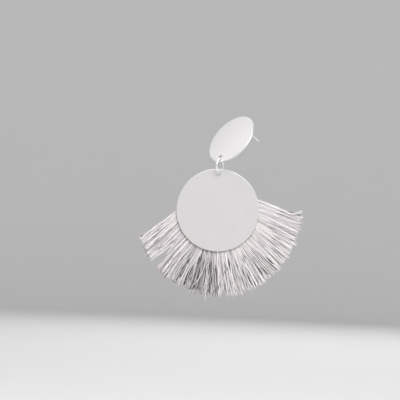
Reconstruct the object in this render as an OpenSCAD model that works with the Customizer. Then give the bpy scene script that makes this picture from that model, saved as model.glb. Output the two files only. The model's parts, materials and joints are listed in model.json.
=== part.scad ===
// Tassel earring: a round stud plate with its ear post, a jump ring, and a larger
// hanging disc that carries a fan of silky threads behind its lower edge.
// The origin is on the back of the stud plate, where the post enters the ear lobe.
// The hanging disc faces the front, which is -Y, and +Z is up. Sizes are in millimetres.

/* [Stud plate] */
// Diameter of the stud plate
stud_d = 27; // [20:0.5:34]
// How far the face of the stud plate looks up, in degrees
stud_lean = 32.8; // [0:0.1:45]
// How far the face of the stud plate turns to the left, in degrees
stud_turn = 48.9; // [0:0.1:60]
// How far the stud plate rolls to the right about its own middle, in degrees
stud_roll = 5.3; // [-10:0.1:10]

/* [Ear post] */
// Diameter of the ear post
post_d = 0.8; // [0.6:0.05:1.2]
// Length of the ear post behind the plate
post_l = 14.5; // [9:0.5:18]
// Distance from the edge of the stud plate in to the ear post
post_edge = 4.4; // [3:0.1:7]
// Width of the solder fillet round the root of the post
solder_w = 0.5; // [0.2:0.05:1]

/* [Sheet metal] */
// Thickness of the stud plate and of the hanging disc
sheet_t = 0.8; // [0.5:0.05:1.2]
// Radius of the tumbled edges of the sheet
edge_r = 0.2; // [0.05:0.01:0.24]
// Metal left between each hole and the edge of its plate
hole_rim = 1.25; // [1:0.05:2]
// Radius of the tumbled edges of the holes
hole_edge_r = 0.1; // [0.02:0.01:0.2]

/* [Jump ring] */
// Outer diameter of the jump ring
ring_d = 8.7; // [8:0.1:12]
// Diameter of the wire of the jump ring
ring_wire = 1.1; // [0.6:0.05:1.2]
// How far the jump ring turns from edge-on, in degrees
ring_turn = 24; // [10:1:40]
// How far the lower end of the jump ring leans to the left, in degrees
ring_lean = 4.5; // [0:0.5:15]
// Width of the butt joint where the ring was closed
ring_slit = 0.06; // [0.02:0.01:0.2]

/* [Hanging disc] */
// Diameter of the hanging disc
drop_d = 40; // [30:0.5:60]

/* [Fringe] */
// Usual length of the threads beyond the rim of the disc
fringe_l = 21.6; // [10:0.2:40]
// Angle from the lowest point of the rim to the left end of the fan
fan_left = 87; // [40:1:100]
// Angle from the lowest point of the rim to the right end of the fan
fan_right = 108; // [40:1:115]
// Steepest angle that the threads on the left reach from straight down
lean_left = 57; // [40:1:80]
// Steepest angle that the threads on the right reach from straight down
lean_right = 80; // [40:1:90]
// How far the stitched heading reaches in behind the disc
heading_w = 6; // [3:0.5:10]
// Thickness of the heading
heading_t = 1.6; // [1:0.1:3]
// Thickness of the fan half way down the threads
middle_t = 2.4; // [1.4:0.1:4]
// Thickness of the fan at its cut ends
tip_t = 2; // [1.2:0.1:3.5]
// Number of locks side by side in the fan
locks = 46; // [24:1:56]

/* [Clearances] */
// Gap between the hanging disc and the heading glued behind it
glue_gap = 0.05; // [0.02:0.01:0.3]
// Gap between the wire and the edge of the hole that it bears on
wire_gap = 0.1; // [0.05:0.01:0.2]
// Room that the wire has beyond that gap in the hole of the stud plate
stud_play = 0.04; // [0:0.01:0.3]
// Room that the wire has beyond that gap in the hole of the hanging disc
drop_play = 0.22; // [0:0.01:0.4]

/* [Hidden] */
$fn = 96;

// Steps in each rounded edge of the sheet
edge_steps = 4;
// Length of a cut past the face that it goes through
past = 1;

stud_r = stud_d / 2;
drop_r = drop_d / 2;
wire_r = ring_wire / 2;
ring_r = (ring_d - ring_wire) / 2;

// Directions that the stud plate faces, and uphill and to the right along its face
face_dir = [-sin(stud_turn) * cos(stud_lean), -cos(stud_turn) * cos(stud_lean), sin(stud_lean)];
uphill_dir = [sin(stud_turn) * sin(stud_lean), cos(stud_turn) * sin(stud_lean), cos(stud_lean)];
right_dir = [cos(stud_turn), -sin(stud_turn), 0];
// Direction from the hole of the stud plate to its post
top_dir = cos(stud_roll) * uphill_dir + sin(stud_roll) * right_dir;
// Direction of the wire where it goes through a hole at the top or bottom of the ring
wire_dir = [-sin(ring_turn), -cos(ring_turn), 0];
down = [0, 0, -1];
// Direction from the top of the ring to its bottom
ring_down = [-cos(ring_turn) * sin(ring_lean), sin(ring_turn) * sin(ring_lean), -cos(ring_lean)];

// Half width that the slanted and curved wire takes up in the hole of a plate, from
// the cosine of the angle between the wire and the hole
function wire_reach(cosine) =
    let (sine = sqrt(1 - cosine * cosine), half = (sheet_t / 2 + wire_r * sine) / cosine)
        (wire_r + sheet_t / 2 * sine) / cosine + half * half / (2 * ring_r);
stud_reach = wire_reach(face_dir * wire_dir);
drop_reach = wire_reach(cos(ring_turn));
stud_hole_r = stud_reach + wire_gap + stud_play;
drop_hole_r = drop_reach + wire_gap + drop_play;

// Where each piece hangs, from the post down
stud_centre = (post_edge - stud_r) * top_dir + sheet_t / 2 * face_dir;
stud_hole = stud_centre - (stud_r - hole_rim - stud_hole_r) * top_dir;
ring_top = stud_hole - stud_play * uphill_dir;
ring_centre = ring_top + ring_r * ring_down;
ring_bottom = ring_centre + ring_r * ring_down;
drop_hole = ring_bottom + drop_play * down;
drop_centre = drop_hole + (drop_r - hole_rim - drop_hole_r) * down;

// Middle of the fringe behind the middle of the sheet
heading_y = sheet_t / 2 + glue_gap + heading_t / 2;
// How far the heading shows below the rim, where the locks grow out of it
heading_show = 0.7;
// How sharply the threads turn down near the ends of the fan
droop_bend = 3;
// Roundness of the sides of a lock, and their thickness as a share of its middle
lock_side_r = 0.25;
lock_side = 0.45;
// How far locks lie before and behind the middle of the fan, as a share of its thickness
lock_stagger = 0.12;
// Share of a lock's width that every gap between two tips takes away
lock_gap = 0.05;
// Share of a lock's width that the borders wander, and of its length that the tips do
border_uneven = 0.22;
tip_uneven = 0.03;

// Thread length along the fan, as [share of the fan, share of the usual length]
LENGTHS = [
    [0.00, 1.05], [0.05, 0.98], [0.15, 0.99], [0.30, 0.98],
    [0.50, 1.03], [0.70, 0.99], [0.88, 0.97], [1.00, 1.08],
];

// Places where the threads sway, as [share of the fan, degrees to the right]
SWAYS = [
    [0.00, 0], [0.06, 5], [0.12, 4], [0.20, 0], [0.30, -5], [0.37, 4], [0.45, 2],
    [0.55, 0], [0.62, 0], [0.68, 6.5], [0.735, -7], [0.80, -3], [0.87, 4], [1.00, 0],
];

// Places where the locks part, as shares: where along the fan, and how much of a
// lock's width the gap takes away between its neighbours' tips
SLITS = [
    [0.085, 0.25], [0.205, 1.2], [0.33, 0.35], [0.40, 0.45],
    [0.48, 0.6], [0.60, 0.4], [0.735, 0.35], [0.96, 0.25],
];
SLIT_AT = 0;
SLIT_WIDE = 1;

// Profile of a round plate, from its axis out, with rounded edges
function edge_arc(r, x, y, from, to) =
    [for (i = [0 : edge_steps]) let (a = from + (to - from) * i / edge_steps)
        [x + r * cos(a), y + r * sin(a)]];

function plate_profile(r) = concat(
    [[0, -sheet_t / 2]],
    edge_arc(edge_r, r - edge_r, edge_r - sheet_t / 2, -90, 0),
    edge_arc(edge_r, r - edge_r, sheet_t / 2 - edge_r, 0, 90),
    [[0, sheet_t / 2]]);

// Profile of the tool that cuts a hole and rounds its edges
function hole_profile(hole_r) = concat(
    [[0, -sheet_t / 2 - past], [hole_r + hole_edge_r, -sheet_t / 2 - past]],
    edge_arc(hole_edge_r, hole_r + hole_edge_r, hole_edge_r - sheet_t / 2, 270, 180),
    edge_arc(hole_edge_r, hole_r + hole_edge_r, sheet_t / 2 - hole_edge_r, 180, 90),
    [[hole_r + hole_edge_r, sheet_t / 2 + past], [0, sheet_t / 2 + past]]);

// A round sheet that faces -Y, with one hole near the top or the bottom of its edge
module plate(r, hole_r, side) {
    rotate([90, 0, 0])
        difference() {
            rotate_extrude() polygon(plate_profile(r));
            translate([0, side * (r - hole_rim - hole_r), 0])
                rotate_extrude() polygon(hole_profile(hole_r));
        }
}

// The straight ear post with its rounded tip and solder fillet, along +Y from its root
module post() {
    post_r = post_d / 2;
    root = [for (i = [0 : edge_steps]) let (a = 90 * i / edge_steps)
        [post_r + solder_w * (1 - sin(a)), solder_w * (1 - cos(a))]];
    tip = [for (i = [0 : edge_steps]) let (a = 90 * i / edge_steps)
        [post_r * cos(a), post_l - post_r + post_r * sin(a)]];
    rotate([-90, 0, 0])
        rotate_extrude()
            polygon(concat([[0, -sheet_t / 2], [post_r + solder_w, -sheet_t / 2]], root, tip));
}

module stud_disc() {
    color("gainsboro")
        rotate([-stud_lean, 0, -stud_turn]) {
            rotate([0, stud_roll, 0])
                translate([0, -sheet_t / 2, post_edge - stud_r]) plate(stud_r, stud_hole_r, -1);
            post();
        }
}

module jump_ring() {
    color("silver")
        translate(ring_centre)
            rotate(a = -ring_lean, v = wire_dir)
                rotate([0, 90, -ring_turn])
                    difference() {
                        rotate_extrude() translate([ring_r, 0]) circle(d = ring_wire);
                        translate([0, ring_r, 0])
                            cube([ring_slit, 2 * ring_wire, 2 * ring_wire], center = true);
                    }
}

module drop_disc() {
    color("gainsboro")
        translate(drop_centre) plate(drop_r, drop_hole_r, 1);
}

// Angle on the rim of a share of the fan, from straight down and to the right
function rim_angle(share) = share * (fan_left + fan_right) - fan_left;

// Angle of the threads that leave the rim there: square to it, drooping at the ends
// of the fan, and with their own sway
function droop(rim) = let (limit = rim < 0 ? lean_left : lean_right)
    rim / pow(1 + pow(abs(rim) / limit, droop_bend), 1 / droop_bend);
function thread_angle(share) = droop(rim_angle(share)) + lookup(share, SWAYS);

// Point [x, z] at a distance along the thread that leaves the rim at a share of the fan
function thread_point(share, along) =
    let (rim = rim_angle(share), lean = thread_angle(share))
        [drop_r * sin(rim) + along * sin(lean), -drop_r * cos(rim) - along * cos(lean)];

// Share of the fan where the border between two locks lies, a little unevenly spaced
function border(i) = (i + (i == 0 || i == locks ? 0 : border_uneven * sin(137.5 * i))) / locks;

// Share of a lock's width that is missing between the tips at a border
function parting(i) =
    lock_gap + max([for (slit = SLITS) round(slit[SLIT_AT] * locks) == i ? slit[SLIT_WIDE] : 0]);

// Length of a lock, from the run of the cut edge and a small unevenness
function lock_length(i) = fringe_l
    * (lookup((i + 0.5) / locks, LENGTHS) + tip_uneven * (0.6 * sin(211 * i) + 0.4 * sin(97 * i)));

function mix(a, b, share) = a + (b - a) * share;

// One upright of a lock, from which its hull is stretched
module upright(at, y, thickness) {
    translate([at[0], y + thickness / 2, at[1]])
        rotate([90, 0, 0]) cylinder(r = lock_side_r, h = thickness, $fn = 6);
}

// Three uprights across a lock, thin at its sides and thick in its middle
module lock_row(left, right, y, thickness) {
    upright(left, y, lock_side * thickness);
    upright(mix(left, right, 0.5), y, thickness);
    upright(right, y, lock_side * thickness);
}

// One lock of threads, wider and thicker away from the rim, and parted at its tip
module lock(i) {
    length = lock_length(i);
    y = heading_y + (i % 2 == 0 ? -1 : 1) * lock_stagger * middle_t;
    middle = [thread_point(border(i), length / 2), thread_point(border(i + 1), length / 2)];
    tip = [thread_point(border(i), length), thread_point(border(i + 1), length)];
    tip_left = mix(tip[0], tip[1], parting(i) / 2);
    tip_right = mix(tip[1], tip[0], parting(i + 1) / 2);
    hull() {
        lock_row(thread_point(border(i), lock_side_r), thread_point(border(i + 1), lock_side_r),
            heading_y, heading_t - 2 * glue_gap);
        lock_row(middle[0], middle[1], y, middle_t);
        lock_row(tip_left, tip_right, y, tip_t);
    }
}

// The stitched band behind the disc that the threads hang from
module heading() {
    inner = drop_r - heading_w;
    outer = drop_r + heading_show;
    bevel = heading_t / 4;
    rotate([90, 0, 0])
        rotate([0, 0, -90 - fan_left])
            rotate_extrude(angle = fan_left + fan_right)
                polygon([
                    [inner, bevel - heading_t / 2], [inner + bevel, -heading_t / 2],
                    [outer - bevel, -heading_t / 2], [outer, bevel - heading_t / 2],
                    [outer, heading_t / 2 - bevel], [outer - bevel, heading_t / 2],
                    [inner + bevel, heading_t / 2], [inner, heading_t / 2 - bevel],
                ]);
}

module fringe() {
    color("silver")
        translate(drop_centre) {
            translate([0, heading_y, 0]) heading();
            for (i = [0 : locks - 1]) lock(i);
        }
}

stud_disc();
jump_ring();
drop_disc();
fringe();
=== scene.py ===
"""Visual model of a tassel earring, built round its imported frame.

The two plates and the jump ring keep their own meshes and get plated metal finishes.
The solid of the fringe gives way to its threads, which hang in wisps from a stitched
heading behind the larger plate. Lengths are in metres and angles in degrees, +Z is up
and -Y is the front.
"""
import json
import logging
import math
from dataclasses import astuple, dataclass
from enum import Enum
from typing import ClassVar

import bpy
import numpy as np
from mathutils import Matrix, Vector


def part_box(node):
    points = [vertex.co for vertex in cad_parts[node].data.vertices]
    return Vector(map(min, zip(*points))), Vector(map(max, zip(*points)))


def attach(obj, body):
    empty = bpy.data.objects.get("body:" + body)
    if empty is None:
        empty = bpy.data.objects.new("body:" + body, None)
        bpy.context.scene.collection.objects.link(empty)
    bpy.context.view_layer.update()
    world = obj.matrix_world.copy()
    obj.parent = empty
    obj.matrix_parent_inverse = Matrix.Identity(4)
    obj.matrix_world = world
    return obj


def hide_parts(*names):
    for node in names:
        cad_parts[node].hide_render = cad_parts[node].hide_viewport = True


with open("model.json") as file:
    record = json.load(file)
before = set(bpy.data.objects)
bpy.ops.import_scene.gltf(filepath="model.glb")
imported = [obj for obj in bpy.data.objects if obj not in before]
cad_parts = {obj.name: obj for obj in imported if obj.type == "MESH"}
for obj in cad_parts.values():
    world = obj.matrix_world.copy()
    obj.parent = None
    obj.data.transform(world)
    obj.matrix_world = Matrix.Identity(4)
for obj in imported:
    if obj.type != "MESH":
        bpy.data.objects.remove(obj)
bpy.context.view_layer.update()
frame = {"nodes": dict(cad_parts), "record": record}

MM = 0.001
LOG = logging.getLogger("tassel_earring")
# The range that a noise texture's value mostly lies in.
NOISE_LOW = 0.3
NOISE_HIGH = 0.7
# How far blanking has domed the stud plate and the hanging plate.
STUD_DOME = 0.3 * MM
DROP_DOME = 0.03 * MM
# How far behind the back of the stud plate a point may lie and still belong to the plate.
PLATE_MARGIN = 0.1 * MM
# The glue between the hanging plate and the heading of the fringe.
GLUE_GAP = 0.05 * MM


class Node(Enum):
    """The CAD nodes of the earring."""

    STUD = "stud_disc"
    RING = "jump_ring"
    DROP = "drop_disc"
    FRINGE = "fringe"


def linear(colour: str) -> tuple[float, float, float, float]:
    """Turns an sRGB hex colour into linear red, green, blue and alpha.

    Args:
        colour: The colour, such as "#d9d9db".

    Returns:
        The four linear channels.
    """
    channels = [int(colour[i : i + 2], 16) / 255 for i in (1, 3, 5)]
    red, green, blue = (c / 12.92 if c <= 0.04045 else ((c + 0.055) / 1.055) ** 2.4 for c in channels)
    return red, green, blue, 1.0


def add(tree: bpy.types.NodeTree, kind: str, inputs: dict[str | int, object] | None = None,
        **settings: object) -> bpy.types.Node:
    """Adds one node to a tree.

    Args:
        tree: The node tree that gets the node.
        kind: The node's type, such as "ShaderNodeMath".
        inputs: For an input's name or index, its value or the socket that it is linked to.
        **settings: The node's other properties.

    Returns:
        The new node.
    """
    node = tree.nodes.new(kind)
    for name, value in settings.items():
        setattr(node, name, value)
    for name, value in (inputs or {}).items():
        if isinstance(value, bpy.types.NodeSocket):
            tree.links.new(value, node.inputs[name])
        else:
            node.inputs[name].default_value = value
    return node


def new_material(name: str) -> tuple[bpy.types.Material, bpy.types.NodeTree]:
    """Makes an empty node material.

    Args:
        name: The material's name.

    Returns:
        The material and its node tree.
    """
    material = bpy.data.materials.new(name)
    material.use_nodes = True
    material.node_tree.nodes.clear()
    return material, material.node_tree


def smoothstep(value: np.ndarray) -> np.ndarray:
    """Eases a value from 0 to 1 and holds it outside that range."""
    held = np.clip(value, 0.0, 1.0)
    return held * held * (3.0 - 2.0 * held)


def rise(down: np.ndarray, start: float | np.ndarray, power: float) -> np.ndarray:
    """Rises from 0 at a start to 1 at the tips.

    Args:
        down: Shares of the thread length.
        start: The share where it starts.
        power: The power that it rises by.

    Returns:
        The risen values.
    """
    return np.clip((down - start) / (1.0 - start), 0.0, 1.0) ** power


@dataclass(frozen=True)
class Disc:
    """The place of a round plate.

    Attributes:
        centre: Centre of the plate.
        radius: Radius of the plate.
        thickness: Thickness of the sheet.
        dome: How far blanking has domed the middle of its face.
        lean: How far its face looks up.
        turn: How far its face turns to the left.
    """

    centre: Vector
    radius: float
    thickness: float
    dome: float = 0.0
    lean: float = 0.0
    turn: float = 0.0

    def rotation(self) -> tuple[float, float, float]:
        """Gives the Euler angles that turn a plate facing -Y into this one."""
        return -math.radians(self.lean), 0.0, -math.radians(self.turn)


@dataclass(frozen=True)
class SatinPlating:
    """Satin silver-coloured plating on blanked and tumbled steel sheet.

    The sheet was blasted before plating, so it gives a soft even sheen with no image in
    it. Tumbling has rounded its edges, which catch a thin bright line, and blanking has
    domed it very slightly, so the sheen changes a little across it. The ear post is drawn
    wire under the same plating and stays brighter.

    Attributes:
        colour: Colour of the plating.
        roughness: Roughness of the blasted faces.
        edge_roughness: Roughness of the tumbled edges.
        post_roughness: Roughness of the ear post.
        edge: Width of the tumbled edge.
        grain: Size of the blasted grain, drawn coarser than the real 0.05 mm so that it
            shows as a faint mottle.
        handling: Size of the faint patches that handling leaves.
        wear: How far the roughness changes with these patches.
        mottle: How far the grain lightens and darkens the plating.
        relief: Strength of the grain's relief.
    """

    colour: str = "#e0dede"
    roughness: float = 0.4
    edge_roughness: float = 0.5
    post_roughness: float = 0.28
    edge: float = 0.3 * MM
    grain: float = 0.25 * MM
    handling: float = 7 * MM
    wear: float = 0.012
    mottle: float = 0.015
    relief: float = 0.05

    # Where the post begins, in thicknesses of the sheet behind the middle of the plate.
    POST_STARTS: ClassVar[tuple[float, float]] = (0.75, 1.5)

    def material(self, name: str, disc: Disc) -> bpy.types.Material:
        """Makes the material for one plate.

        Args:
            name: The material's name.
            disc: The plate, whose own coordinates the pattern uses.

        Returns:
            The material.
        """
        material, tree = new_material(name)
        where = add(tree, "ShaderNodeTexCoord")
        own = add(tree, "ShaderNodeMapping", {
            "Vector": where.outputs["Object"], "Location": disc.centre, "Rotation": disc.rotation(),
        }, vector_type="TEXTURE")
        parts = add(tree, "ShaderNodeSeparateXYZ", {"Vector": own.outputs["Vector"]})
        flat = add(tree, "ShaderNodeCombineXYZ", {"X": parts.outputs["X"], "Z": parts.outputs["Z"]})
        far = add(tree, "ShaderNodeVectorMath", {0: flat.outputs["Vector"]}, operation="LENGTH")
        rim = add(tree, "ShaderNodeMapRange", {
            "Value": far.outputs["Value"], "From Min": disc.radius - self.edge, "From Max": disc.radius,
        }, interpolation_type="SMOOTHSTEP")
        behind = [disc.thickness * start for start in self.POST_STARTS]
        post = add(tree, "ShaderNodeMapRange", {
            "Value": parts.outputs["Y"], "From Min": behind[0], "From Max": behind[1],
        })
        patches = add(tree, "ShaderNodeTexNoise", {
            "Vector": own.outputs["Vector"], "Scale": 1 / self.handling, "Detail": 3.0, "Roughness": 0.55,
        })
        worn = add(tree, "ShaderNodeMapRange", {
            "Value": patches.outputs["Fac"], "From Min": NOISE_LOW, "From Max": NOISE_HIGH,
            "To Min": self.roughness - self.wear, "To Max": self.roughness + self.wear,
        })
        faces = add(tree, "ShaderNodeMix", {
            0: rim.outputs["Result"], 2: worn.outputs["Result"], 3: self.edge_roughness,
        })
        rough = add(tree, "ShaderNodeMix", {
            0: post.outputs["Result"], 2: faces.outputs[0], 3: self.post_roughness,
        })
        grain = add(tree, "ShaderNodeTexNoise", {
            "Vector": own.outputs["Vector"], "Scale": 1 / self.grain, "Detail": 2.0, "Roughness": 0.6,
        })
        shades = add(tree, "ShaderNodeMapRange", {
            "Value": grain.outputs["Fac"], "From Min": NOISE_LOW, "From Max": NOISE_HIGH,
            "To Min": 1.0 - self.mottle, "To Max": 1.0 + self.mottle,
        })
        base = add(tree, "ShaderNodeVectorMath", {0: linear(self.colour)[:3]}, operation="SCALE")
        tree.links.new(shades.outputs["Result"], base.inputs["Scale"])
        dome = add(tree, "ShaderNodeMath", {0: far.outputs["Value"], 1: 2.0}, operation="POWER")
        height = add(tree, "ShaderNodeMath", {
            0: dome.outputs["Value"], 1: -disc.dome / disc.radius**2,
        }, operation="MULTIPLY")
        domed = add(tree, "ShaderNodeBump", {
            "Height": height.outputs["Value"], "Strength": 1.0, "Distance": 1.0,
        })
        bump = add(tree, "ShaderNodeBump", {
            "Height": grain.outputs["Fac"], "Strength": self.relief, "Distance": self.grain,
            "Normal": domed.outputs["Normal"],
        })
        surface = add(tree, "ShaderNodeBsdfPrincipled", {
            "Base Color": base.outputs["Vector"], "Metallic": 1.0, "Roughness": rough.outputs[0],
            "Normal": bump.outputs["Normal"],
        })
        add(tree, "ShaderNodeOutputMaterial", {"Surface": surface.outputs["BSDF"]})
        return material


@dataclass(frozen=True)
class PolishedWire:
    """Bright silver-coloured plating on drawn steel wire.

    Drawing leaves fine lines along the wire, so its highlights are sharp across it and
    a little broken along it.

    Attributes:
        colour: Colour of the plating.
        roughness: Roughness of the polished wire.
        lines: Spacing of the drawing lines, coarser than the real ones so that they show.
        polished: How much smoother the wire is between these lines.
        scored: How much rougher it is in them.
        relief: Strength of their relief.
    """

    colour: str = "#e8e7e8"
    roughness: float = 0.38
    lines: float = 0.12 * MM
    polished: float = 0.03
    scored: float = 0.06
    relief: float = 0.08

    # The range of the noise that the lines are made of, narrow so that they stand out.
    MARKS_LOW: ClassVar[float] = 0.35
    MARKS_HIGH: ClassVar[float] = 0.65

    def material(self, name: str) -> bpy.types.Material:
        """Makes the material.

        Args:
            name: The material's name.

        Returns:
            The material.
        """
        material, tree = new_material(name)
        where = add(tree, "ShaderNodeTexCoord")
        marks = add(tree, "ShaderNodeTexNoise", {
            "Vector": where.outputs["Object"], "Scale": 1 / self.lines, "Detail": 2.0, "Roughness": 0.5,
        })
        rough = add(tree, "ShaderNodeMapRange", {
            "Value": marks.outputs["Fac"], "From Min": self.MARKS_LOW, "From Max": self.MARKS_HIGH,
            "To Min": self.roughness - self.polished, "To Max": self.roughness + self.scored,
        })
        bump = add(tree, "ShaderNodeBump", {
            "Height": marks.outputs["Fac"], "Strength": self.relief, "Distance": self.lines * 0.5,
        })
        surface = add(tree, "ShaderNodeBsdfPrincipled", {
            "Base Color": linear(self.colour), "Metallic": 1.0, "Roughness": rough.outputs["Result"],
            "Normal": bump.outputs["Normal"],
        })
        add(tree, "ShaderNodeOutputMaterial", {"Surface": surface.outputs["BSDF"]})
        return material


@dataclass(frozen=True)
class SilkyThread:
    """Silver-grey viscose embroidery thread, spun from fine bright filaments.

    Its gloss runs in short streaks along each thread, and single threads differ a little in
    shade.

    Attributes:
        inner: Near-black colour of the inner threads, a painted shade that gives the gaps in the front
            layer their depth.
        deep: Shade of the darkest outer threads.
        pale: Shade of the palest threads.
        roughness: Roughness along the filaments.
        ply: Length of one turn of the two plies.
        ply_depth: Depth of the groove between the plies.
        relief: Strength of that groove.
        slub: Length of the streaks where the shade changes along a thread.
        streak: How far the shade changes in them.
        sheen: Weight of the soft sheen of the fine filaments.
        sheen_roughness: Roughness of that sheen.
        specular: Specular level of the filaments.
    """

    # Near-black painted shade for the inner threads that show through the gaps.
    inner: str = "#2e2c2d"
    deep: str = "#a09c9d"
    pale: str = "#efe9ea"
    roughness: float = 0.36
    ply: float = 0.9 * MM
    ply_depth: float = 0.03 * MM
    relief: float = 0.35
    slub: float = 2.5 * MM
    streak: float = 0.08
    sheen: float = 0.25
    sheen_roughness: float = 0.35
    specular: float = 0.6

    # The value of the shade attribute that the colour deep stands for.
    DEEP_AT: ClassVar[float] = 0.25
    # Turns the plies of each thread by its shade, so that neighbours don't line up.
    PLY_LAG: ClassVar[float] = 97.0

    def material(self, name: str) -> bpy.types.Material:
        """Makes the material, which reads the threads' own UV map and shade attribute.

        Args:
            name: The material's name.

        Returns:
            The material.
        """
        material, tree = new_material(name)
        shade = add(tree, "ShaderNodeAttribute", attribute_name="shade")
        along = add(tree, "ShaderNodeUVMap", uv_map="thread")
        parts = add(tree, "ShaderNodeSeparateXYZ", {"Vector": along.outputs["UV"]})
        lane = add(tree, "ShaderNodeCombineXYZ", {"X": parts.outputs["Y"], "Y": shade.outputs["Fac"]})
        slubs = add(tree, "ShaderNodeTexNoise", {
            "Vector": lane.outputs["Vector"], "Scale": 1 / self.slub, "Detail": 2.0,
        }, noise_dimensions="2D")
        lift = add(tree, "ShaderNodeMapRange", {
            "Value": slubs.outputs["Fac"], "From Min": NOISE_LOW, "From Max": NOISE_HIGH,
            "To Min": -self.streak, "To Max": self.streak,
        })
        tint = add(tree, "ShaderNodeMath", {
            0: shade.outputs["Fac"], 1: lift.outputs["Result"],
        }, operation="ADD", use_clamp=True)
        base = add(tree, "ShaderNodeValToRGB", {"Fac": tint.outputs["Value"]})
        base.color_ramp.elements[0].color = linear(self.inner)
        base.color_ramp.elements.new(self.DEEP_AT).color = linear(self.deep)
        base.color_ramp.elements[2].color = linear(self.pale)
        turn = add(tree, "ShaderNodeMath", {
            0: parts.outputs["Y"], 1: 2 * math.pi / self.ply,
        }, operation="MULTIPLY")
        lag = add(tree, "ShaderNodeMath", {
            0: shade.outputs["Fac"], 1: self.PLY_LAG, 2: turn.outputs["Value"],
        }, operation="MULTIPLY_ADD")
        phase = add(tree, "ShaderNodeMath", {
            0: parts.outputs["X"], 1: 2 * math.pi, 2: lag.outputs["Value"],
        }, operation="MULTIPLY_ADD")
        plies = add(tree, "ShaderNodeMath", {0: phase.outputs["Value"]}, operation="SINE")
        bump = add(tree, "ShaderNodeBump", {
            "Height": plies.outputs["Value"], "Strength": self.relief, "Distance": self.ply_depth,
        })
        surface = add(tree, "ShaderNodeBsdfPrincipled", {
            "Base Color": base.outputs["Color"], "Roughness": self.roughness,
            "Normal": bump.outputs["Normal"], "Sheen Weight": self.sheen,
            "Sheen Roughness": self.sheen_roughness, "Specular IOR Level": self.specular,
        })
        add(tree, "ShaderNodeOutputMaterial", {"Surface": surface.outputs["BSDF"]})
        return material


@dataclass(frozen=True)
class PaleFloor:
    """Matt off-white studio floor that turns up into its backdrop.

    Attributes:
        colour: Colour of the paint.
        roughness: Roughness of the paint, with no gloss to mirror the earring.
        specular: Its specular level.
    """

    colour: str = "#d8d8d7"
    roughness: float = 0.9
    specular: float = 0.2

    def material(self, name: str) -> bpy.types.Material:
        """Makes the material.

        Args:
            name: The material's name.

        Returns:
            The material.
        """
        material, tree = new_material(name)
        surface = add(tree, "ShaderNodeBsdfPrincipled", {
            "Base Color": linear(self.colour), "Roughness": self.roughness,
            "Specular IOR Level": self.specular,
        })
        add(tree, "ShaderNodeOutputMaterial", {"Surface": surface.outputs["BSDF"]})
        return material


@dataclass(frozen=True)
class Parting:
    """A place where the threads part.

    Attributes:
        share: Where it lies along the fan.
        start: Where it opens, as a share of the thread length.
        end: Where it has closed again, or above 1 if it stays open at the tips.
        width: Its widest gap.
        back: The depth that it reaches back to, as a share of half the thickness. Most
            partings are in the front layer alone.
    """

    share: float
    start: float
    end: float
    width: float
    back: float = -0.3

    # How an open end widens, below 1 so that it widens most at its root.
    FLARE: ClassVar[float] = 0.8

    def opening(self, down: np.ndarray) -> np.ndarray:
        """Gives how far it is open at shares of the thread length, from 0 to 1."""
        held = np.clip((down - self.start) / (min(self.end, 1.0) - self.start), 0.0, 1.0)
        return held**self.FLARE if self.end > 1.0 else np.sin(math.pi * held)

    def push(self, home: np.ndarray, gap: np.ndarray, down: np.ndarray, depth: np.ndarray) -> np.ndarray:
        """Gives how far it pushes the threads to the right.

        Args:
            home: Share of the fan that each thread comes from.
            gap: Distance of each point to the right of the parting.
            down: Share of the thread length of each point.
            depth: Depth of each thread, as a share of half the thickness.

        Returns:
            The distance to the right.
        """
        side = np.where(home < self.share, -1.0, 1.0)
        inside, opened = side * gap, self.opening(down)
        clear = np.maximum(inside, 0.0)
        moved = np.hypot(clear, 0.5 * self.width * opened) - clear + opened * np.maximum(-inside, 0.0)
        return side * moved * (depth < self.back)


@dataclass(frozen=True)
class FinePartings:
    """The many fine partings of the front layer, nearly half of them in one crowd.

    Each pair of values is the lowest and the highest of a range.

    Attributes:
        count: Number of fine partings.
        crowded: Share of them that belong to the crowd.
        crowd: Middle and scatter of the crowd, as shares of the fan.
        others: Shares of the fan where the others lie.
        starts: Shares of the thread length where they open.
        lengths: Shares of the thread length that they are open for.
        crowd_widths: Widths of those in the crowd.
        other_widths: Widths of the others.
        seed: Seed of the random draws.
    """

    count: int = 170
    crowded: float = 0.47
    crowd: tuple[float, float] = (0.405, 0.05)
    others: tuple[float, float] = (0.03, 0.89)
    starts: tuple[float, float] = (0.15, 0.80)
    lengths: tuple[float, float] = (0.15, 0.40)
    crowd_widths: tuple[float, float] = (0.7 * MM, 1.3 * MM)
    other_widths: tuple[float, float] = (0.2 * MM, 0.5 * MM)
    seed: int = 16

    def partings(self) -> list[Parting]:
        """Draws the partings.

        Returns:
            The partings.
        """
        draw = np.random.default_rng(self.seed)
        crowded = draw.random(self.count) < self.crowded
        share = np.where(crowded, draw.normal(*self.crowd, self.count),
                         draw.uniform(*self.others, self.count))
        start = draw.uniform(*self.starts, self.count)
        end = start + draw.uniform(*self.lengths, self.count)
        width = np.where(crowded, draw.uniform(*self.crowd_widths, self.count),
                         draw.uniform(*self.other_widths, self.count))
        return [*map(Parting, share, start, end, width)]


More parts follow.
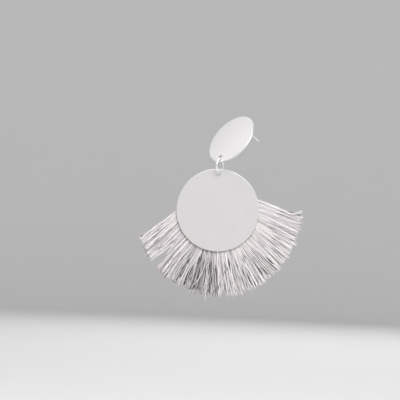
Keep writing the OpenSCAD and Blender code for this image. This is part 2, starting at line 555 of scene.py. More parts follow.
@dataclass(frozen=True)
class Fan:
    """The field that the threads follow, from the rim of the plate to their cut ends.

    A share runs along the rim from 0 at the left end of the fan to 1 at the right.

    Attributes:
        centre: Centre of the plate, at the depth of the middle of the heading.
        rim: Radius of the plate.
        left: Angle from the lowest point of the rim to the left end of the fan.
        right: Angle from the lowest point of the rim to the right end of the fan.
        lean_left: Steepest lean of the threads on the left.
        lean_right: Steepest lean of the threads on the right.
        droop_bend: How sharply the threads turn down near the ends.
        length: Usual length of the threads beyond the rim.
        locks: Number of locks side by side in the fan.
        lengths: Share of the fan and share of the usual length.
        sways: Share of the fan and degrees that its threads sway to the right.
    """

    centre: Vector
    rim: float
    left: float = 87.0
    right: float = 108.0
    lean_left: float = 57.0
    lean_right: float = 80.0
    droop_bend: float = 3.0
    length: float = 21.6 * MM
    locks: int = 46
    lengths: tuple[tuple[float, float], ...] = (
        (0.00, 1.05), (0.05, 0.98), (0.15, 0.99), (0.30, 0.98),
        (0.50, 1.03), (0.70, 0.99), (0.88, 0.97), (1.00, 1.08),
    )
    sways: tuple[tuple[float, float], ...] = (
        (0.00, 0.0), (0.06, 5.0), (0.12, 4.0), (0.20, 0.0), (0.30, -5.0), (0.37, 4.0), (0.45, 2.0),
        (0.55, 0.0), (0.62, 0.0), (0.68, 6.5), (0.735, -7.0), (0.80, -3.0), (0.87, 4.0), (0.95, 1.0),
        (1.00, -3.0),
    )

    # How unevenly the locks are spaced, as a share of their width, and the degrees that this
    # unevenness turns from one border to the next.
    BORDER_UNEVEN: ClassVar[float] = 0.22
    BORDER_TURN: ClassVar[float] = 137.5
    # How unevenly the locks are cut, as a share of their length, and the weight of each wave
    # of it with the degrees that it turns from one lock to the next.
    TIP_UNEVEN: ClassVar[float] = 0.03
    TIP_WAVES: ClassVar[tuple[tuple[float, float], ...]] = ((0.6, 211.0), (0.4, 97.0))

    def rim_angle(self, share: np.ndarray) -> np.ndarray:
        """Gives the angle on the rim, from straight down and to the right."""
        return share * (self.left + self.right) - self.left

    def lean(self, share: np.ndarray) -> np.ndarray:
        """Gives the angle that the threads hang at.

        Args:
            share: Shares of the fan.

        Returns:
            The angles, from straight down and to the right.
        """
        rim = self.rim_angle(share)
        limit = np.where(rim < 0.0, self.lean_left, self.lean_right)
        droop = rim / (1.0 + (np.abs(rim) / limit) ** self.droop_bend) ** (1.0 / self.droop_bend)
        return droop + np.interp(share, *zip(*self.sways))

    def spread(self, along: np.ndarray) -> np.ndarray:
        """Gives the width of the whole fan at a distance along the threads."""
        leans = math.radians(float(self.lean(np.array(1.0)) - self.lean(np.array(0.0))))
        return math.radians(self.left + self.right) * self.rim + leans * along

    def borders(self) -> np.ndarray:
        """Works out where the locks begin and end, a little unevenly spaced.

        Returns:
            Their borders, as shares of the fan.
        """
        number = np.arange(self.locks + 1)
        uneven = self.BORDER_UNEVEN * np.sin(np.radians(self.BORDER_TURN * number))
        uneven[[0, -1]] = 0.0
        return (number + uneven) / self.locks

    def locks_at(self, share: np.ndarray) -> tuple[np.ndarray, np.ndarray]:
        """Finds the locks that lie at shares of the fan.

        Args:
            share: Shares of the fan.

        Returns:
            The numbers of the locks, and the shares of the fan where their middles are.
        """
        borders = self.borders()
        lock = np.clip(np.searchsorted(borders, share, side="right") - 1, 0, self.locks - 1)
        return lock, (borders[lock] + borders[lock + 1]) / 2

    def lock_length(self, lock: np.ndarray) -> np.ndarray:
        """Gives the lengths of locks.

        Args:
            lock: Numbers of the locks.

        Returns:
            Their lengths beyond the rim.
        """
        uneven = sum(weight * np.sin(np.radians(turn * lock)) for weight, turn in self.TIP_WAVES)
        usual = np.interp((lock + 0.5) / self.locks, *zip(*self.lengths))
        return self.length * (usual + self.TIP_UNEVEN * uneven)

    def place(self, share: np.ndarray, along: np.ndarray, aside: np.ndarray,
              depth: np.ndarray) -> np.ndarray:
        """Gives points in the fan.

        Args:
            share: Share of the fan that a thread leaves the rim at.
            along: Distance along the thread from the rim, negative behind the plate.
            aside: Distance that the point is pushed to the right, across the thread.
            depth: Distance behind the middle of the fan.

        Returns:
            The points, with x, y and z on the last axis.
        """
        rim, lean = np.radians(self.rim_angle(share)), np.radians(self.lean(share))
        behind, beyond = np.minimum(along, 0.0), np.maximum(along, 0.0)
        x = (self.rim + behind) * np.sin(rim) + beyond * np.sin(lean) + aside * np.cos(lean)
        z = -(self.rim + behind) * np.cos(rim) - beyond * np.cos(lean) + aside * np.sin(lean)
        return np.stack([x, depth, z], axis=-1) + np.array(self.centre)

    def across(self, share: np.ndarray) -> np.ndarray:
        """Gives the direction across the threads, to the right."""
        lean = np.radians(self.lean(share))
        return np.stack([np.cos(lean), np.zeros_like(lean), np.sin(lean)], axis=-1)


def tube_mesh(name: str, paths: np.ndarray, across: np.ndarray, radii: np.ndarray, shades: np.ndarray,
              sides: int) -> bpy.types.Object:
    """Makes one mesh object of many thin closed tubes.

    Args:
        name: The object's name.
        paths: The tubes' centre lines, as (tubes, steps, 3).
        across: A direction roughly square to each tube at each step, in the same shape.
        radii: The tubes' radii, as (tubes, steps).
        shades: A shade from 0 to 1 for each tube.
        sides: Number of sides of a tube.

    Returns:
        The object, with the UV map "thread" (turns, metres) and the attribute "shade".
    """
    tubes, steps = radii.shape
    forward = np.gradient(paths, axis=1)
    forward /= np.linalg.norm(forward, axis=2, keepdims=True)
    side = across - (across * forward).sum(2, keepdims=True) * forward
    side /= np.linalg.norm(side, axis=2, keepdims=True)
    out = np.cross(forward, side)
    turns = np.arange(sides) / sides
    angle = 2 * math.pi * turns[:, None]
    ring = side[:, :, None] * np.cos(angle) + out[:, :, None] * np.sin(angle)
    points = paths[:, :, None] + ring * radii[:, :, None, None]
    number = np.arange(tubes * steps * sides).reshape(tubes, steps, sides)
    after = np.roll(number, -1, axis=2)
    walls = np.stack([number[:, :-1], after[:, :-1], after[:, 1:], number[:, 1:]], axis=-1).reshape(-1, 4)
    caps = np.concatenate([number[:, 0, ::-1], number[:, -1]])
    mesh = bpy.data.meshes.new(name)
    mesh.from_pydata(points.reshape(-1, 3).tolist(), [], walls.tolist() + caps.tolist())
    pieces = np.linalg.norm(np.diff(paths, axis=1), axis=2)
    run = np.concatenate([np.zeros((tubes, 1)), pieces.cumsum(axis=1)], axis=1)
    low = np.stack(np.broadcast_arrays(turns[None, None, :], run[:, :-1, None]), -1)
    high = np.stack(np.broadcast_arrays(turns[None, None, :], run[:, 1:, None]), -1)
    step = np.array([1.0 / sides, 0.0])
    wall_uv = np.stack([low, low + step, high + step, high], axis=3).reshape(-1, 2)
    cap_uv = np.stack([np.zeros(caps.size), np.repeat(np.concatenate([run[:, 0], run[:, -1]]), sides)], -1)
    layer = mesh.uv_layers.new(name="thread")
    layer.data.foreach_set("uv", np.concatenate([wall_uv, cap_uv]).ravel())
    shade = mesh.attributes.new("shade", "FLOAT", "POINT")
    shade.data.foreach_set("value", np.repeat(shades, steps * sides))
    mesh.shade_smooth()
    made = bpy.data.objects.new(name, mesh)
    bpy.context.scene.collection.objects.link(made)
    return made


@dataclass(frozen=True, kw_only=True)
class CordLayer:
    """One layer of the cords that make up the fringe.

    Attributes:
        name: Name of its piece.
        cords: Number of cords side by side.
        depth: Depth of the cords, as a share of half the thickness.
        scatter: How far that depth varies.
        sway: Usual distance that the tips of the cords stray sideways.
        start: Where the cords start, as a distance from the rim.
        shades: Share of the fan and usual shade of its cords, from 0 to 1.
        seed: Seed of its random draws.
        reach: Share of the usual thread length that they reach.
        filaments: Number of filaments in a cord.
        folded: Whether they start in a fold round the inner edge of the heading.
    """

    name: str
    cords: int
    depth: float
    scatter: float
    sway: float
    start: float
    shades: tuple[tuple[float, float], ...]
    seed: int
    reach: float = 1.0
    filaments: int = 6
    folded: bool = False


@dataclass(frozen=True)
class Unevenness:
    """How the cords and filaments of the fringe differ from one another.

    Attributes:
        spacing: Shift of a cord to the side, as a share of the spacing of the cords.
        cord_cut: How unevenly the cords are cut.
        filament_cut: How unevenly the filaments of a cord are cut.
        loosening: Lowest and highest factor that a cord loosens by.
        gather: Highest share of the way to its middle that the tips of a lock gather by.
        crease: How much nearer to the middle of the fan the borders of a lock lie.
        stagger: How far each lock lies before or behind the next at its tips.
        together: Number of neighbours that sway together.
        shared_sway: How far these sway.
        own_sway: How far each cord sways by itself.
        wild: Share of the cords that sway further.
        wildness: How many times further these sway.
        tips: How far the tips of the filaments stray.
        radii: Lowest and highest factor of a filament's radius.
        cord_shade: How far the shade of a cord varies.
        filament_shade: How far the shades of its filaments vary.
    """

    spacing: float = 0.16
    cord_cut: float = 0.16 * MM
    filament_cut: float = 0.14 * MM
    loosening: tuple[float, float] = (0.8, 1.3)
    gather: float = 0.15
    crease: float = 0.1
    stagger: float = 0.04
    together: int = 7
    shared_sway: float = 1.6
    own_sway: float = 0.65
    wild: float = 0.06
    wildness: float = 3.0
    tips: float = 0.1 * MM
    radii: tuple[float, float] = (0.75, 1.25)
    cord_shade: float = 0.11
    filament_shade: float = 0.20

    def sways(self, cords: int, draw: np.random.Generator) -> np.ndarray:
        """Draws how far the cords of a layer sway to the right.

        Args:
            cords: Number of cords.
            draw: The source of the random draws.

        Returns:
            The sway of each cord, as a multiple of the usual one.
        """
        shared = draw.normal(0.0, self.shared_sway, cords + self.together - 1)
        shared = np.convolve(shared, np.ones(self.together) / self.together, mode="valid")
        wild = np.where(draw.random(cords) < self.wild, self.wildness, 1.0)
        return draw.normal(0.0, self.own_sway, cords) * wild + shared


@dataclass(frozen=True)
class Wave:
    """A soft wave that the threads keep from the skein.

    Attributes:
        length: Usual length of the wave.
        height: How far it leads to the side.
    """

    length: float
    height: float

    # Lowest and highest factor of the length.
    VARIES: ClassVar[tuple[float, float]] = (0.75, 1.35)
    # How much flatter it is to the back than to the side.
    FLATTER: ClassVar[float] = 0.6

    def lead(self, along: np.ndarray, owner: np.ndarray,
             draw: np.random.Generator) -> tuple[np.ndarray, np.ndarray]:
        """Gives how far the wave leads the filaments to the right and to the back.

        Args:
            along: Distances along the filaments.
            owner: For each filament, the number of the wave that it shares with others.
            draw: The source of the random draws.

        Returns:
            The distances to the right and to the back.
        """
        owners = int(owner[-1]) + 1
        length = (self.length * draw.uniform(*self.VARIES, owners))[owner][:, None]
        phase = draw.uniform(0.0, 2 * math.pi, (2, owners))[:, owner][:, :, None]
        right, back = np.sin(2 * math.pi * along / length + phase)
        return self.height * right, self.FLATTER * self.height * back


@dataclass(frozen=True)
class Stray:
    """One loose thread in front of the fan.

    Attributes:
        share: Share of the fan that it leaves the rim at.
        loose: Where it comes loose, as a share of the thread length.
        end: Its length, as a share of the thread length.
        aside: Distance that its tip has moved to the right.
        bow: Distance that its middle bows to the right.
    """

    share: float
    loose: float
    end: float
    aside: float
    bow: float = 0.0


@dataclass(frozen=True)
class StrayLay:
    """How the loose threads lie.

    Attributes:
        plies: Number of plies in a thread.
        steps: Number of points along a ply.
        tuck: How far a thread starts behind the rim.
        root: How deep it starts, as a share of half the heading's thickness.
        settle: Distance beyond the rim where it has come to the front of the fan.
        clear: How far it lies in front of the fan.
        lift: How much further it lifts off where it is loose.
        peak: Share of half a wave that this lift follows, below 1 so that the tip stays off.
        spread: How far its plies lie apart.
        held: Share of that spread where it isn't loose.
        bend: Power of its bend to the side.
        radii: Lowest and highest factor of a ply's radius.
        taper: Share of its length and share of its radius there.
        shade: Usual shade.
        shade_scatter: How far the shade varies.
        seed: Seed of the random draws.
    """

    plies: int = 3
    steps: int = 28
    tuck: float = 1.0 * MM
    root: float = 0.5
    settle: float = 1.5 * MM
    clear: float = 0.05 * MM
    lift: float = 0.35 * MM
    peak: float = 0.7
    spread: float = 0.05 * MM
    held: float = 0.5
    bend: float = 1.3
    radii: tuple[float, float] = (0.9, 1.2)
    taper: tuple[tuple[float, float], ...] = ((0.0, 1.0), (0.9, 1.0), (1.0, 0.6))
    shade: float = 0.8
    shade_scatter: float = 0.08
    seed: int = 15


@dataclass(frozen=True)
class ChainStitch:
    """The chain stitches that hold the cords to the heading.

    Attributes:
        rows: Distances of the rows of stitches from the rim.
        radius: Radius of the thread.
        pitch: Length of a stitch.
        reach: Half the length of a loop, as a share of the pitch.
        width: Half the width of a loop.
        taper: How much narrower a loop is towards one end.
        clear: How far the loops lie off the heading.
        tilt: How much further off the heading one end of a loop lies.
        steps: Number of points round a loop.
        sides: Number of sides of the thread.
        shade: Shade of the thread.
    """

    rows: tuple[float, ...] = (1.7 * MM, 3.9 * MM)
    radius: float = 0.17 * MM
    pitch: float = 1.9 * MM
    reach: float = 0.72
    width: float = 0.42 * MM
    taper: float = 0.35
    clear: float = 0.05 * MM
    tilt: float = 0.12 * MM
    steps: int = 18
    sides: int = 6
    shade: float = 0.5


@dataclass(frozen=True)
class Fringe:
    """The fan of threads behind the lower edge of the hanging plate.

    Soft cords lie side by side in a front, an inner and a back layer. The back ones fold
    over the inner edge of the heading, two rows of stitches hold them there, and beyond
    the rim each cord loosens into fine filaments.

    Attributes:
        fan: The field that the threads follow.
        heading: How far the heading reaches in from the rim.
        half: Half the thickness of the heading.
        half_middle: Half the thickness of the fan half way down.
        half_tip: Half the thickness of the fan at the cut ends.
        filament: Radius of a filament.
        cord: How far the filaments of a cord lie from its middle.
        twist: Turns of a cord between the rim and its tip.
        sides: Number of sides of a filament.
        steps: Number of points along a filament.
        fold_steps: Number of these that lie in the fold.
        fold_reach: How far the fold reaches in.
        fold_inset: How far short of the heading's inner edge it ends.
        uneven: How the cords and filaments differ from one another.
        fine: The fine partings.
        lay: How the loose threads lie.
        stitch: The stitches.
        finish: Finish of the threads.
    """

    fan: Fan
    heading: float = 6.0 * MM
    half: float = 0.8 * MM
    half_middle: float = 1.05 * MM
    half_tip: float = 0.85 * MM
    filament: float = 0.11 * MM
    cord: float = 0.17 * MM
    twist: float = 0.15
    sides: int = 5
    steps: int = 17
    fold_steps: int = 5
    fold_reach: float = 0.6 * MM
    fold_inset: float = 0.18 * MM
    uneven: Unevenness = Unevenness()
    fine: FinePartings = FinePartings()
    lay: StrayLay = StrayLay()
    stitch: ChainStitch = ChainStitch()
    finish: SilkyThread = SilkyThread()

    # Shades of the front cords: darker across the crowd of partings in the middle of the fan, a painted
    # shade for the deep gaps there.
    FRONT_SHADES: ClassVar[tuple[tuple[float, float], ...]] = (
        (0.10, 0.60), (0.28, 0.50), (0.35, 0.49), (0.44, 0.49), (0.50, 0.72), (0.60, 0.80), (0.78, 0.72),
        (0.92, 0.60),
    )
    # Shades of the inner cords: near black under the crowd and the larger partings, a painted shade for
    # the depth of the gaps, and paler at the two ends of the fan.
    INNER_PAINTED_SHADES: ClassVar[tuple[tuple[float, float], ...]] = (
        (0.01, 0.50), (0.02, 0.40), (0.28, 0.40), (0.34, 0.00), (0.445, 0.00), (0.50, 0.22), (0.57, 0.22),
        (0.585, 0.00), (0.65, 0.00), (0.66, 0.22), (0.67, 0.00), (0.70, 0.00), (0.71, 0.30), (0.83, 0.34),
        (0.87, 0.55), (0.95, 0.55), (0.965, 0.00), (0.98, 0.00), (0.985, 0.50),
    )
    BACK_SHADES: ClassVar[tuple[tuple[float, float], ...]] = ((0.0, 0.64),)
    LAYERS: ClassVar[tuple[CordLayer, ...]] = (
        CordLayer(name="fringe_front", cords=172, depth=-0.66, scatter=0.07, sway=0.32 * MM,
                  start=-1.2 * MM, shades=FRONT_SHADES, seed=11),
        CordLayer(name="fringe_inner", cords=160, depth=0.0, scatter=0.14, sway=0.60 * MM,
                  start=-5.4 * MM, shades=INNER_PAINTED_SHADES, seed=12, reach=0.93),
        CordLayer(name="fringe_back", cords=160, depth=0.66, scatter=0.08, sway=0.50 * MM,
                  start=-6.0 * MM, shades=BACK_SHADES, seed=14, folded=True),
    )
    # The end of a parting that stays open at the tips, and the depth of one that goes through.
    OPEN: ClassVar[float] = 1.10
    THROUGH: ClassVar[float] = 1.1
    PARTINGS: ClassVar[tuple[Parting, ...]] = (
        Parting(0.075, 0.50, 0.80, 0.35 * MM),
        Parting(0.174, 0.42, OPEN, 5.00 * MM, THROUGH),
        Parting(0.215, 0.15, 0.56, 0.45 * MM),
        Parting(0.228, 0.68, OPEN, 0.50 * MM),
        Parting(0.308, 0.34, 0.54, 0.40 * MM),
        Parting(0.333, 0.52, OPEN, 0.60 * MM),
        Parting(0.364, 0.34, 0.76, 0.90 * MM),
        Parting(0.390, 0.40, 0.97, 1.00 * MM),
        Parting(0.402, 0.50, OPEN, 0.70 * MM),
        Parting(0.415, 0.36, 0.80, 0.90 * MM),
        Parting(0.430, 0.30, 0.46, 0.50 * MM),
        Parting(0.472, 0.78, OPEN, 3.00 * MM, THROUGH),
        Parting(0.503, 0.46, 0.64, 0.45 * MM),
        Parting(0.595, 0.25, 0.45, 0.55 * MM),
        Parting(0.607, 0.54, OPEN, 0.80 * MM),
        Parting(0.642, 0.72, 0.94, 0.60 * MM),
        Parting(0.684, 0.55, 0.86, 1.10 * MM),
        Parting(0.738, 0.80, OPEN, 0.60 * MM),
        Parting(0.793, 0.46, 0.74, 0.50 * MM),
        Parting(0.978, 0.45, 0.80, 0.90 * MM),
    )
    STRAYS: ClassVar[tuple[Stray, ...]] = (
        Stray(0.359, 0.02, 0.84, 0.2 * MM, 2.3 * MM),
        Stray(0.404, 0.60, 1.12, 0.3 * MM),
        Stray(0.990, 0.77, 0.96, 3.9 * MM),
        Stray(0.986, 0.78, 0.95, 3.0 * MM),
        Stray(0.455, 0.30, 0.87, 1.9 * MM, 0.2 * MM),
        Stray(0.488, 0.35, 0.85, -1.9 * MM),
        Stray(0.530, 0.20, 0.98, -0.9 * MM, -0.9 * MM),
        Stray(0.270, 0.20, 0.96, 0.8 * MM, -0.8 * MM),
        Stray(0.640, 0.25, 0.98, -1.2 * MM, 0.6 * MM),
        Stray(0.800, 0.30, 0.99, 1.0 * MM, 0.7 * MM),
        Stray(0.110, 0.30, 0.97, -0.9 * MM, 0.4 * MM),
    )
    # The wave that all filaments of a cord share, and that of each filament by itself.
    CORD_WAVE: ClassVar[Wave] = Wave(18.0 * MM, 0.09 * MM)
    FILAMENT_WAVE: ClassVar[Wave] = Wave(8.0 * MM, 0.04 * MM)
    # Share of the thread length and how many times wider a cord is there.
    LOOSENING: ClassVar[tuple[tuple[float, float], ...]] = ((0.0, 1.0), (0.5, 1.3), (1.0, 2.0))
    # Share of the thread length where the waves reach their full height.
    WAVES_FULL: ClassVar[float] = 0.4
    # Where the cords sway, the tips of a lock gather and the tips of the filaments stray:
    # the share of the thread length that it starts at, and the power that it rises by.
    SWAYS: ClassVar[tuple[float, float]] = (0.0, 1.6)
    GATHERS: ClassVar[tuple[float, float]] = (0.45, 1.5)
    TIPS: ClassVar[tuple[float, float]] = (0.75, 2.0)
    # Share of a thread's length and share of its radius there.
    TAPER: ClassVar[tuple[tuple[float, float], ...]] = ((0.0, 1.0), (0.94, 1.0), (1.0, 0.8))
    # How far inside the heading's faces the middles of the outermost filaments lie, in radii.
    FLUSH: ClassVar[float] = 1.2
    # Shares of the thread length where the fan leaves the plate, begins to swell, is half way
    # down and ends.
    SWELLS: ClassVar[tuple[float, ...]] = (0.0, 0.06, 0.5, 1.0)
    # The outermost level that a cord may lie at, as a share of half the thickness.
    OUTERMOST: ClassVar[float] = 0.66
    # How much of their push the outermost cords still show beyond the two ends of the fan.
    LOOSE_ENDS: ClassVar[float] = 0.1

    @classmethod
    def behind(cls, plate: Disc) -> "Fringe":
        """Makes the fringe that is glued behind a plate.

        Args:
            plate: The plate.

        Returns:
            The fringe.
        """
        middle = plate.centre.y + plate.thickness / 2 + GLUE_GAP + cls.half
        return cls(Fan(Vector((plate.centre.x, middle, plate.centre.z)), plate.radius))

    def thickness(self, down: np.ndarray) -> np.ndarray:
        """Gives half the thickness of the fan at shares of the thread length."""
        heading = self.half - self.FLUSH * self.filament
        return np.interp(down, self.SWELLS, (heading, heading, self.half_middle, self.half_tip))

    def runs(self, layer: CordLayer, lock: np.ndarray, cord: np.ndarray,
             draw: np.random.Generator) -> tuple[np.ndarray, np.ndarray]:
        """Cuts the filaments of a layer to length and sets their points out along them.

        Args:
            layer: The layer.
            lock: The lock that each cord belongs to.
            cord: The cord that each filament belongs to.
            draw: The source of the random draws.

        Returns:
            The distances of the points from the rim, and their shares of the thread length.
        """
        length = self.fan.lock_length(lock) * layer.reach
        length = length + draw.normal(0.0, self.uneven.cord_cut, layer.cords)
        length = (length[cord] + draw.normal(0.0, self.uneven.filament_cut, cord.size))[:, None]
        along = layer.start + (length - layer.start) * np.linspace(0.0, 1.0, self.steps)
        return along, along / length

    def part(self, home: np.ndarray, share: np.ndarray, along: np.ndarray, aside: np.ndarray,
             down: np.ndarray, level: np.ndarray) -> np.ndarray:
        """Opens the partings, and keeps the threads between the two ends of the fan.

        Args:
            home: Share of the fan that each filament comes from.
            share: Share of the fan of each point.
            along: Distance of each point from the rim.
            aside: Distance that each point is pushed to the right so far.
            down: Share of the thread length of each point.
            level: Depth of each filament's cord, as a share of half the thickness.

        Returns:
            The distance that each point is pushed to the right in the end.
        """
        width = self.fan.spread(np.maximum(along, 0.0))
        for parting in [*self.fine.partings(), *self.PARTINGS]:
            gap = (share - parting.share) * width + aside
            aside = aside + parting.push(home, gap, down, level)
        held = np.clip(aside, -share * width, (1.0 - share) * width)
        return held + self.LOOSE_ENDS * (aside - held)

    def fold(self, along: np.ndarray, depth: np.ndarray) -> tuple[np.ndarray, np.ndarray]:
        """Leads the first steps of filaments round the inner edge of the heading.

        Args:
            along: Distances along the filaments, from the inner edge on.
            depth: Depths of the filaments.

        Returns:
            The distances and depths with the fold in them.
        """
        turns = self.fold_steps
        angle = np.linspace(0.0, math.pi, turns)
        level = depth[:, turns : turns + 1]
        along, depth = along.copy(), depth.copy()
        along[:, :turns] = -self.heading + self.fold_reach * (1.0 - np.sin(angle)) + self.fold_inset
        depth[:, :turns] = -level * np.cos(angle)
        return along, depth

    def layer(self, layer: CordLayer) -> bpy.types.Object:
        """Builds the filaments of one layer.

        Args:
            layer: The layer.

        Returns:
            The layer's piece.
        """
        draw = np.random.default_rng(layer.seed)
        fan, uneven, cords = self.fan, self.uneven, layer.cords
        cord = np.repeat(np.arange(cords), layer.filaments)
        count = cord.size

        def each(values: np.ndarray) -> np.ndarray:
            """Gives each filament the value of its cord."""
            return values[cord][:, None]

        home = (np.arange(cords) + 0.5 + draw.uniform(-uneven.spacing, uneven.spacing, cords)) / cords
        lock, middle = fan.locks_at(home)
        along, down = self.runs(layer, lock, cord, draw)
        ease = smoothstep(down)

        around = draw.uniform(0.0, 2 * math.pi, (count, 1))
        away = np.sqrt(draw.uniform(0.0, 1.0, (count, 1)))
        angle = around + 2 * math.pi * self.twist * ease
        loosened = np.interp(down, *zip(*self.LOOSENING)) * each(draw.uniform(*uneven.loosening, cords))

        gather = each(draw.uniform(0.0, uneven.gather, fan.locks)[lock])
        share = each(home) + each(middle - home) * gather * rise(down, *self.GATHERS)
        share = np.clip(share, 0.0, 1.0)

        level = layer.depth + draw.normal(0.0, layer.scatter, cords)
        level = each(np.clip(level, -self.OUTERMOST, self.OUTERMOST))
        crease = uneven.crease * each(2 * fan.locks * np.abs(home - middle)) ** 2
        stagger = each(np.where(lock % 2 == 0, -uneven.stagger, uneven.stagger))
        depth = (level + stagger * ease) * self.thickness(down) * (1.0 - crease * ease)
        depth = depth + away * np.sin(angle) * self.cord

        aside = each(uneven.sways(cords, draw) * layer.sway) * rise(down, *self.SWAYS)
        aside = aside + away * np.cos(angle) * loosened * self.cord
        free = np.clip(down / self.WAVES_FULL, 0.0, 1.0)
        for wave, owner in ((self.CORD_WAVE, cord), (self.FILAMENT_WAVE, np.arange(count))):
            right, back = wave.lead(along, owner, draw)
            aside, depth = aside + right * free, depth + back * free
        aside = aside + draw.normal(0.0, uneven.tips, (count, 1)) * rise(down, *self.TIPS)
        aside = self.part(each(home), share, along, aside, down, level)
        if layer.folded:
            along, depth = self.fold(along, depth)

        paths = fan.place(share, along, aside, depth)
        taper = np.interp(np.linspace(0.0, 1.0, self.steps), *zip(*self.TAPER))
        radii = self.filament * draw.uniform(*uneven.radii, (count, 1)) * taper
        usual = np.interp(home, *zip(*layer.shades)) + draw.normal(0.0, uneven.cord_shade, cords)
        shades = np.clip(usual[cord] + draw.normal(0.0, uneven.filament_shade, count), 0.0, 1.0)
        return tube_mesh(layer.name, paths, fan.across(share), radii, shades, self.sides)

    def strays(self) -> bpy.types.Object:
        """Builds the loose threads in front of the fan.

        Returns:
            Their piece.
        """
        fan, lay = self.fan, self.lay
        draw = np.random.default_rng(lay.seed)
        rows = [astuple(stray) for stray in self.STRAYS for _ in range(lay.plies)]
        share, loose, end, tip, bow = np.array(rows).T[:, :, None]
        column = share.shape
        u = np.linspace(0.0, 1.0, lay.steps)[None, :]
        usual = fan.length * np.interp(share, *zip(*fan.lengths))
        along = -lay.tuck + (usual * end + lay.tuck) * u
        free = rise(u, loose, 1.0)
        aside = tip * free**lay.bend + bow * np.sin(math.pi * free)
        aside = aside + draw.normal(0.0, lay.spread, column) * (lay.held + free)
        lifted = lay.clear + lay.lift * np.sin(math.pi * free * lay.peak)
        front = -self.thickness(along / usual) - lifted
        inside = -lay.root * self.half
        depth = inside + (front - inside) * np.clip(along / lay.settle, 0.0, 1.0)
        depth = depth + draw.normal(0.0, lay.spread, column) * free
        share = np.broadcast_to(share, along.shape)
        paths = fan.place(share, along, aside, depth)
        radii = self.filament * draw.uniform(*lay.radii, column) * np.interp(u, *zip(*lay.taper))
        shades = np.clip(lay.shade + draw.normal(0.0, lay.shade_scatter, len(rows)), 0.0, 1.0)
        return tube_mesh("fringe_strays", paths, fan.across(share), radii, shades, self.sides)

    def stitches(self) -> bpy.types.Object:
        """Builds the rows of chain stitches that hold the cords to the heading.

        Returns:
            Their piece.
        """
        fan, stitch = self.fan, self.stitch
        turn = np.linspace(0.0, 2 * math.pi, stitch.steps)[None, :]
        rows = []
        for row in stitch.rows:
            links = round(math.radians(fan.left + fan.right) * (fan.rim - row) / stitch.pitch)
            middle = ((np.arange(links) + 0.5) / links)[:, None]
            share = np.clip(middle + stitch.reach * np.cos(turn) / links, 0.0, 1.0)
            aside = stitch.width * np.sin(turn) * (1.0 - stitch.taper * np.cos(turn))
            lift = self.half + stitch.clear + stitch.tilt * np.cos(turn)
            still = np.zeros_like(share)
            rows.append(fan.place(share, -row + aside, still, lift + still))
        paths = np.concatenate(rows)
        across = np.broadcast_to(np.array([0.0, 1.0, 0.0]), paths.shape)
        radii = np.full(paths.shape[:2], stitch.radius)
        shades = np.full(len(paths), stitch.shade)
        return tube_mesh("fringe_stitches", paths, across, radii, shades, stitch.sides)

    def build(self) -> list[bpy.types.Object]:
        """Builds and dresses the fringe.

        Returns:
            Its pieces.
        """
        pieces = [*map(self.layer, self.LAYERS), self.strays(), self.stitches()]
        silk = self.finish.material("viscose_thread")
        for piece in pieces:
            piece.data.materials.append(silk)
            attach(piece, "drop")
            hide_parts(Node.FRINGE.value)
        return pieces


@dataclass(frozen=True)
class Metalwork:
    """The plates and the ring, which keep the frame's meshes.

    Attributes:
        stud: Place of the stud plate.
        drop: Place of the hanging plate.
        plating: Finish of the plates.
        wire: Finish of the ring.
    """

    stud: Disc
    drop: Disc
    plating: SatinPlating = SatinPlating()
    wire: PolishedWire = PolishedWire()

    def dress(self) -> list[bpy.types.Object]:
        """Gives each metal node its finish.

        Returns:
            The nodes' objects.
        """
        finishes = {
            Node.STUD: self.plating.material("satin_plating_stud", self.stud),
            Node.DROP: self.plating.material("satin_plating_drop", self.drop),
            Node.RING: self.wire.material("polished_ring_wire"),
        }
        for node, material in finishes.items():
            piece = frame["nodes"][node.value]
            piece.data.materials.clear()
            piece.data.materials.append(material)
        return [frame["nodes"][node.value] for node in finishes]


@dataclass(frozen=True)
class Softbox:
    """One square softbox.

    Attributes:
        name: Its name.
        towards: Its direction from the point that the camera looks at.
        distance: Its distance from there.
        size: Length of its side.
        brightness: Its radiance, where 1 shows as white.
    """

    name: str
    towards: tuple[float, float, float]
    distance: float
    size: float
    brightness: float


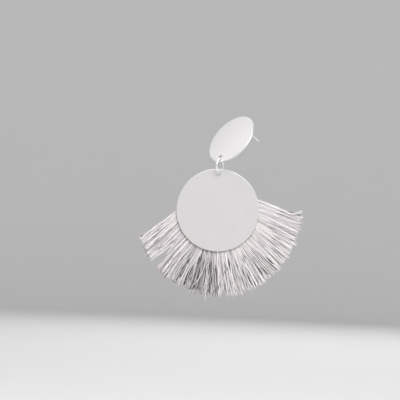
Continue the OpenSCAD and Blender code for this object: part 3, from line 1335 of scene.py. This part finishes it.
@dataclass(frozen=True)
class Studio:
    """The pale floor with its backdrop, the lights and the camera.

    Attributes:
        subject: Centre of the hanging plate, which the camera is set by.
        drop_pixel: Where that centre lies in the photograph, of 400 by 400 pixels.
        scale: Pixels of the photograph for a metre at the plate.
        roll: How far the camera leans clockwise.
        distance: Distance of the camera from the plate.
        floor_drop: Depth of the floor under the camera.
        room: Radius of the floor.
        wall: Height of the backdrop round it.
        bend: Radius of the bend between them.
        sides: Number of sides of the round floor.
        bend_steps: Number of steps round the bend.
        sky: Colour of the light from all sides.
        sky_strength: Strength of that light.
        floor: Finish of the floor.
    """

    subject: Vector
    drop_pixel: tuple[float, float] = (217.65, 210.1)
    scale: float = 2065.0
    roll: float = 1.95
    distance: float = 1.0
    floor_drop: float = 0.135
    room: float = 1.9
    wall: float = 1.2
    bend: float = 0.5
    sides: int = 128
    bend_steps: int = 24
    sky: str = "#f2f2f4"
    sky_strength: float = 0.6
    floor: PaleFloor = PaleFloor()

    # Width and height of the photograph in pixels.
    FRAME: ClassVar[int] = 400
    SOFTBOXES: ClassVar[tuple[Softbox, ...]] = (
        Softbox("key", (0.15, -0.66, 0.74), 1.0, 0.6, 10.8),
        Softbox("front", (-0.1, -1.0, 0.05), 1.4, 1.3, 0.1),
        Softbox("side", (-0.55, 0.12, 0.55), 0.9, 0.6, 0.94),
        Softbox("back", (0.15, 0.90, 0.42), 1.2, 0.8, 1.8),
        Softbox("right", (0.85, -0.40, -0.05), 1.1, 1.2, 1.0),
    )

    def camera(self) -> Vector:
        """Adds the camera at the photograph's viewing angle.

        Returns:
            The point that it looks at.
        """
        roll = math.radians(self.roll)
        right = Vector((math.cos(roll), 0.0, math.sin(roll)))
        up = Vector((-math.sin(roll), 0.0, math.cos(roll)))
        back = Vector((0.0, -1.0, 0.0))
        aim = self.subject + (self.FRAME / 2 - self.drop_pixel[0]) / self.scale * right
        aim = aim - (self.FRAME / 2 - self.drop_pixel[1]) / self.scale * up
        data = bpy.data.cameras.new("camera")
        data.lens = data.sensor_width * self.distance * self.scale / self.FRAME
        data.clip_start, data.clip_end = 0.01, 20.0
        camera = bpy.data.objects.new("camera", data)
        camera.matrix_world = Matrix.Translation(aim + back * self.distance) @ Matrix(
            (right, up, back)).transposed().to_4x4()
        bpy.context.scene.collection.objects.link(camera)
        bpy.context.scene.camera = camera
        return aim

    def backdrop(self, aim: Vector) -> bpy.types.Object:
        """Adds the round floor, whose edge bends up into a backdrop on every side.

        Args:
            aim: The point that the camera looks at.

        Returns:
            The floor's object.
        """
        bpy.ops.object.select_all(action="DESELECT")
        middle = aim + Vector((0.0, 0.0, self.wall / 2 - self.floor_drop))
        bpy.ops.mesh.primitive_cylinder_add(vertices=self.sides, radius=self.room, depth=self.wall,
                                            location=middle)
        floor = bpy.context.object
        floor.name = "floor"
        bpy.ops.object.transform_apply(location=True, rotation=True, scale=True)
        bpy.ops.object.mode_set(mode="EDIT")
        bpy.ops.mesh.select_all(action="DESELECT")
        bpy.ops.mesh.select_mode(type="FACE")
        bpy.ops.object.mode_set(mode="OBJECT")
        for face in floor.data.polygons:
            face.select = face.normal.z > 0.5
        bpy.ops.object.mode_set(mode="EDIT")
        bpy.ops.mesh.delete(type="FACE")
        bpy.ops.mesh.select_all(action="SELECT")
        bpy.ops.mesh.flip_normals()
        bpy.ops.object.mode_set(mode="OBJECT")
        corner = floor.modifiers.new("bend", "BEVEL")
        corner.width, corner.segments, corner.limit_method = self.bend, self.bend_steps, "ANGLE"
        corner.angle_limit = math.radians(60)
        bpy.ops.object.modifier_apply(modifier="bend")
        bpy.ops.object.shade_smooth()
        floor.data.materials.append(self.floor.material("matt_studio_floor"))
        return floor

    def light(self, softbox: Softbox, aim: Vector) -> None:
        """Adds one softbox, which the camera doesn't see.

        Args:
            softbox: The softbox.
            aim: The point that it faces.
        """
        data = bpy.data.lights.new(softbox.name, "AREA")
        data.shape, data.size = "SQUARE", softbox.size
        data.energy = softbox.brightness * math.pi * softbox.size**2
        light = bpy.data.objects.new(softbox.name, data)
        towards = Vector(softbox.towards).normalized()
        light.location = aim + towards * softbox.distance
        light.rotation_mode = "QUATERNION"
        light.rotation_quaternion = (-towards).to_track_quat("-Z", "Y")
        light.visible_camera = False
        bpy.context.scene.collection.objects.link(light)

    def build(self) -> None:
        """Builds the whole studio."""
        aim = self.camera()
        self.backdrop(aim)
        for softbox in self.SOFTBOXES:
            self.light(softbox, aim)
        world = bpy.data.worlds.new("soft_studio")
        world.use_nodes = True
        world.node_tree.nodes.clear()
        sky = add(world.node_tree, "ShaderNodeBackground", {
            "Color": linear(self.sky), "Strength": self.sky_strength,
        })
        add(world.node_tree, "ShaderNodeOutputWorld", {"Surface": sky.outputs["Background"]})
        bpy.context.scene.world = world
        bpy.context.scene.view_settings.view_transform = "Standard"


def find_discs() -> tuple[Disc, Disc]:
    """Works out the places of the plates from the frame.

    Returns:
        The stud plate and the hanging plate.
    """
    low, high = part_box(Node.DROP.value)
    thickness = high.y - low.y
    drop = Disc((low + high) / 2, (high.x - low.x) / 2, thickness, DROP_DOME)
    mounts = {mount["name"]: mount for mount in frame["record"]["mounts"]}
    post = Vector(mounts["ear_lobe"]["axis"])
    lean, turn = math.degrees(math.asin(-post.z)), math.degrees(math.atan2(post.x, post.y))
    points = [vertex.co for vertex in frame["nodes"][Node.STUD.value].data.vertices]
    flat = [point for point in points if point.dot(post) < PLATE_MARGIN]
    level = Vector((post.x, post.y, 0.0)).normalized()
    top = -post.z * level + math.cos(math.radians(lean)) * Vector((0.0, 0.0, 1.0))
    heights = [point.dot(top) for point in flat]
    radius = (max(heights) - min(heights)) / 2
    centre = top * (max(heights) + min(heights)) / 2 - post * thickness / 2
    return Disc(centre, radius, thickness, STUD_DOME, lean, turn), drop


def main() -> None:
    """Builds the earring and its studio, and reports each piece."""
    logging.basicConfig(level=logging.INFO, format="%(name)s: %(message)s")
    stud, drop = find_discs()
    pieces = Metalwork(stud, drop).dress()
    pieces += Fringe.behind(drop).build()
    Studio(drop.centre).build()
    for piece in pieces:
        mesh = piece.data
        LOG.info("%s: %d faces, finish %s", piece.name, len(mesh.polygons), mesh.materials[0].name)


if __name__ == "__main__":
    main()
